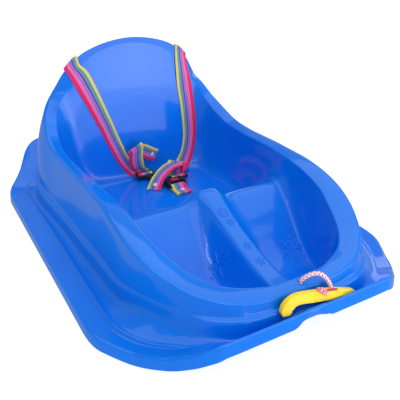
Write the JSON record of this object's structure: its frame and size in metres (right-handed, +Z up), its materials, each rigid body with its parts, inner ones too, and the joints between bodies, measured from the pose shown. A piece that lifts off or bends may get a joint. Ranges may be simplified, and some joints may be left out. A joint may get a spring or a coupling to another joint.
{
  "type": "plastic sled",
  "caption": "Blue moulded toddler sled with backrest, foot wells, striped harness with release buckle, yellow tow handle and braided tow rope.",
  "frame": {"origin": "middle of the sled's box at ground level: centre of width and length, z = 0 at the runners' underside", "axes": "+X to the right of someone standing in front of the sled and facing it, +Y from the nose to the backrest, +Z up"},
  "size_m": [0.5354, 0.7218, 0.3138],
  "materials": {
    "shell_blue": "glossy moulded polyethylene, through-coloured",
    "handle_yellow": "semi-gloss moulded",
    "rope_braid": "braided white cord with pink and red tracers",
    "webbing_stripes": "woven webbing with lengthwise stripes",
    "buckle_black": "fine satin moulded",
    "button_red": "satin moulded",
    "rivet_cap": "smooth white cap",
    "tie_white": "plain cable tie",
    "rivet_steel": "zinc-plated"
  },
  "bodies": {
    "sled": {"sled_shell": "shell_blue", "shoulder_strap_left": "webbing_stripes", "shoulder_strap_right": "webbing_stripes", "anchor_rivet_left": "rivet_steel", "anchor_rivet_right": "rivet_steel", "anchor_rivet_crotch": "rivet_steel", "anchor_washer_left": "rivet_steel", "anchor_washer_right": "rivet_steel", "anchor_washer_crotch": "rivet_steel", "tail_rivet_left": "rivet_cap", "tail_rivet_right": "rivet_cap", "crotch_strap": "webbing_stripes", "buckle_tongue_left": "buckle_black", "buckle_tongue_right": "buckle_black", "tow_rope_lower": "rope_braid", "tow_rope_coil": "rope_braid", "rope_tie": "tie_white", "rope_end_knot": "rope_braid"},
    "tow_handle": {"tow_handle": "handle_yellow", "handle_knot": "rope_braid", "tow_rope": "rope_braid"},
    "buckle_socket": {"buckle_socket": "buckle_black", "crotch_strap_loop": "webbing_stripes", "loop_rivet": "rivet_cap"},
    "release_button": {"release_button": "button_red"}
  },
  "joints": [
    {"name": "tow_handle_pull", "type": "slide", "parent": "sled", "child": "tow_handle", "axis": [0, 0, 1], "range_m": [0, 0.15]},
    {"name": "buckle_release", "type": "slide", "parent": "sled", "child": "buckle_socket", "axis": [0, -1, 0], "range_m": [0, 0.018]},
    {"name": "button_press", "type": "slide", "parent": "buckle_socket", "child": "release_button", "axis": [0, 0, -1], "range_m": [0, 0.002], "stiffness_N_per_m": 800}
  ]
}
